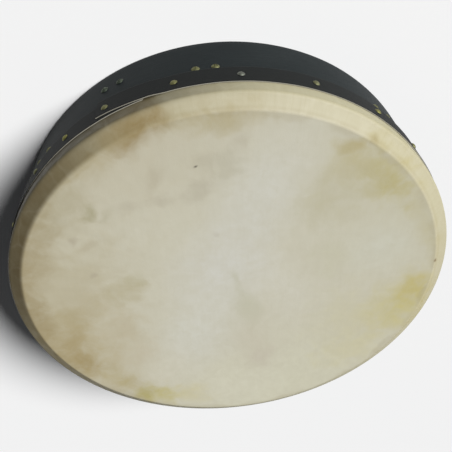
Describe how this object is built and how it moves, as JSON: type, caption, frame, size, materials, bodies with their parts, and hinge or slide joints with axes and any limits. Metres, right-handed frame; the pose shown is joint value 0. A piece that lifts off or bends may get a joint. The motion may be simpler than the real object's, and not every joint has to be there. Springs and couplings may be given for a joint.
{
  "type": "frame drum",
  "caption": "Tunable frame drum: goatskin head on a deep black hoop, raised by an inner ring and tuner bolts, with a crossbar grip.",
  "frame": {"origin": "centre of the open back edge, which the drum lies on", "axes": "+Z along the drum's axis towards the head; the crossbars lie along X and Y"},
  "size_m": [0.464, 0.4647, 0.1144],
  "materials": {
    "shell_black": "black satin lacquer over bent ply",
    "goatskin": "natural cream goatskin, matt, unevenly stained",
    "trim_vinyl": "black leathercloth strip, satin grain, pale cut edges",
    "brass_tacks": "domed brass, slightly dull",
    "ring_ply": "natural ply, clear sealed",
    "plate_steel": "zinc-plated flat steel",
    "brass_screws": "brass-plated cross-head",
    "bar_black": "black satin lacquer over hardwood",
    "block_steel": "zinc-plated block",
    "bolt_steel": "plated socket-head bolt"
  },
  "bodies": {
    "frame": {"frame_shell": "shell_black", "goatskin_head": "goatskin", "trim_strip": "trim_vinyl", "trim_tacks": "brass_tacks", "tuner_block_screws": "brass_screws", "crossbar_x": "bar_black", "crossbar_y": "bar_black", "crossbar_end_screws": "brass_screws", "crossbar_centre_screw": "brass_screws", "tuner_block_1": "block_steel", "tuner_block_2": "block_steel", "tuner_block_3": "block_steel", "tuner_block_4": "block_steel", "tuner_block_5": "block_steel", "tuner_block_6": "block_steel", "tuner_block_7": "block_steel", "tuner_block_8": "block_steel"},
    "tuning_ring": {"tuning_ring": "ring_ply", "wear_plates": "plate_steel"},
    "tuner_bolt_1": {"tuner_bolt_1": "bolt_steel"},
    "tuner_bolt_2": {"tuner_bolt_2": "bolt_steel"},
    "tuner_bolt_3": {"tuner_bolt_3": "bolt_steel"},
    "tuner_bolt_4": {"tuner_bolt_4": "bolt_steel"},
    "tuner_bolt_5": {"tuner_bolt_5": "bolt_steel"},
    "tuner_bolt_6": {"tuner_bolt_6": "bolt_steel"},
    "tuner_bolt_7": {"tuner_bolt_7": "bolt_steel"},
    "tuner_bolt_8": {"tuner_bolt_8": "bolt_steel"}
  },
  "joints": [
    {"name": "ring_lift", "type": "slide", "parent": "frame", "child": "tuning_ring", "axis": [0, 0, 1], "range_m": [-0.006, 0]},
    {"name": "tuner_1_turn", "type": "hinge", "parent": "tuning_ring", "child": "tuner_bolt_1", "pos_m": [0.19697, 0.08159, 0.07], "axis": [0, 0, 1], "range_deg": [-2160, 0]},
    {"name": "tuner_2_turn", "type": "hinge", "parent": "tuning_ring", "child": "tuner_bolt_2", "pos_m": [0.08159, 0.19697, 0.07], "axis": [0, 0, 1], "range_deg": [-2160, 0]},
    {"name": "tuner_3_turn", "type": "hinge", "parent": "tuning_ring", "child": "tuner_bolt_3", "pos_m": [-0.08159, 0.19697, 0.07], "axis": [0, 0, 1], "range_deg": [-2160, 0]},
    {"name": "tuner_4_turn", "type": "hinge", "parent": "tuning_ring", "child": "tuner_bolt_4", "pos_m": [-0.19697, 0.08159, 0.07], "axis": [0, 0, 1], "range_deg": [-2160, 0]},
    {"name": "tuner_5_turn", "type": "hinge", "parent": "tuning_ring", "child": "tuner_bolt_5", "pos_m": [-0.19697, -0.08159, 0.07], "axis": [0, 0, 1], "range_deg": [-2160, 0]},
    {"name": "tuner_6_turn", "type": "hinge", "parent": "tuning_ring", "child": "tuner_bolt_6", "pos_m": [-0.08159, -0.19697, 0.07], "axis": [0, 0, 1], "range_deg": [-2160, 0]},
    {"name": "tuner_7_turn", "type": "hinge", "parent": "tuning_ring", "child": "tuner_bolt_7", "pos_m": [0.08159, -0.19697, 0.07], "axis": [0, 0, 1], "range_deg": [-2160, 0]},
    {"name": "tuner_8_turn", "type": "hinge", "parent": "tuning_ring", "child": "tuner_bolt_8", "pos_m": [0.19697, -0.08159, 0.07], "axis": [0, 0, 1], "range_deg": [-2160, 0]}
  ],
  "couplings": [
    {"joint": "tuner_1_turn", "follows": "ring_lift", "rad_per_m": 6283.2},
    {"joint": "tuner_2_turn", "follows": "ring_lift", "rad_per_m": 6283.2},
    {"joint": "tuner_3_turn", "follows": "ring_lift", "rad_per_m": 6283.2},
    {"joint": "tuner_4_turn", "follows": "ring_lift", "rad_per_m": 6283.2},
    {"joint": "tuner_5_turn", "follows": "ring_lift", "rad_per_m": 6283.2},
    {"joint": "tuner_6_turn", "follows": "ring_lift", "rad_per_m": 6283.2},
    {"joint": "tuner_7_turn", "follows": "ring_lift", "rad_per_m": 6283.2},
    {"joint": "tuner_8_turn", "follows": "ring_lift", "rad_per_m": 6283.2}
  ]
}
